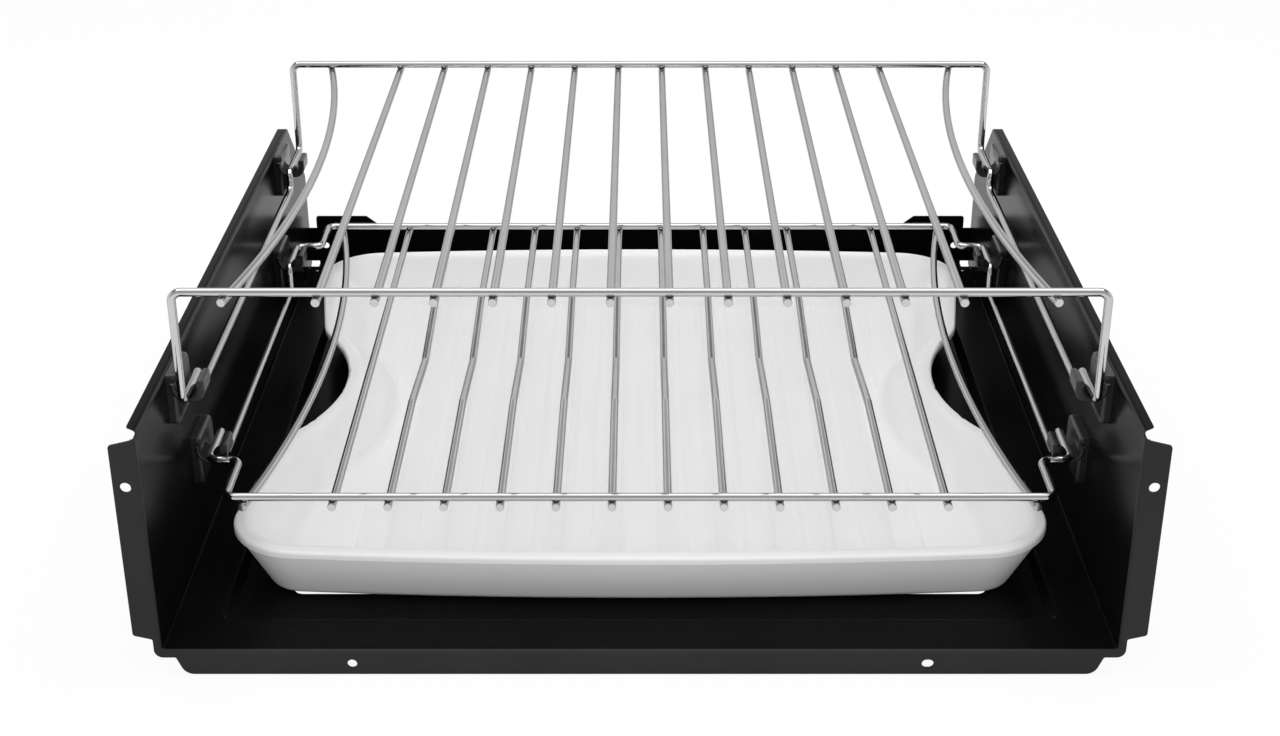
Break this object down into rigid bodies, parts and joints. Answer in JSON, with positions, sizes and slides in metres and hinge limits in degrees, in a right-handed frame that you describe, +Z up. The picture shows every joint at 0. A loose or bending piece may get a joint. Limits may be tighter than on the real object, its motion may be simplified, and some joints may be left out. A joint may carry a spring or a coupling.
{
  "type": "microwave drawer",
  "caption": "Open-front sheet-metal microwave drawer box with moulded wall hooks, two bent-wire racks that lift out and a ribbed ceramic dish over the floor opening.",
  "frame": {"origin": "under the middle of the pan, level with the lower edge of the front lip", "axes": "+X to the right seen from the open front, +Y from the front towards the back wall, +Z up"},
  "size_m": [0.4642, 0.4594, 0.1721],
  "materials": {
    "black_coat": "satin black coating on bent steel sheet",
    "hook_plastic": "moulded charcoal plastic, satin",
    "bright_wire": "bright plated steel wire",
    "white_glaze": "white glaze, smooth",
    "screw_steel": "plain steel screws"
  },
  "bodies": {
    "drawer": {"drawer_pan": "black_coat", "holder_screws": "screw_steel", "holder_upper_front_left": "hook_plastic", "holder_upper_rear_left": "hook_plastic", "holder_lower_front_left": "hook_plastic", "holder_lower_rear_left": "hook_plastic", "holder_upper_front_right": "hook_plastic", "holder_upper_rear_right": "hook_plastic", "holder_lower_front_right": "hook_plastic", "holder_lower_rear_right": "hook_plastic"},
    "dish": {"dish": "white_glaze"},
    "lower_rack": {"lower_rack_frame": "bright_wire", "lower_rack_rod_01": "bright_wire", "lower_rack_rod_02": "bright_wire", "lower_rack_rod_03": "bright_wire", "lower_rack_rod_04": "bright_wire", "lower_rack_rod_05": "bright_wire", "lower_rack_rod_06": "bright_wire", "lower_rack_rod_07": "bright_wire", "lower_rack_rod_08": "bright_wire", "lower_rack_rod_09": "bright_wire", "lower_rack_rod_10": "bright_wire", "lower_rack_rod_11": "bright_wire", "lower_rack_rod_12": "bright_wire", "lower_rack_bowed_rod_left": "bright_wire", "lower_rack_bowed_rod_right": "bright_wire"},
    "upper_rack": {"upper_rack_frame": "bright_wire", "upper_rack_rod_01": "bright_wire", "upper_rack_rod_02": "bright_wire", "upper_rack_rod_03": "bright_wire", "upper_rack_rod_04": "bright_wire", "upper_rack_rod_05": "bright_wire", "upper_rack_rod_06": "bright_wire", "upper_rack_rod_07": "bright_wire", "upper_rack_rod_08": "bright_wire", "upper_rack_rod_09": "bright_wire", "upper_rack_rod_10": "bright_wire", "upper_rack_rod_11": "bright_wire", "upper_rack_rod_12": "bright_wire", "upper_rack_bowed_rod_left": "bright_wire", "upper_rack_bowed_rod_right": "bright_wire"}
  },
  "joints": [
    {"name": "dish_lift", "type": "slide", "parent": "drawer", "child": "dish", "axis": [0, -0.182, 0.9833], "range_m": [0, 0.15]},
    {"name": "lower_rack_lift", "type": "slide", "parent": "dish", "child": "lower_rack", "axis": [0, -0.182, 0.9833], "range_m": [0, 0.15]},
    {"name": "upper_rack_lift", "type": "slide", "parent": "lower_rack", "child": "upper_rack", "axis": [0, -0.182, 0.9833], "range_m": [0, 0.15]}
  ]
}
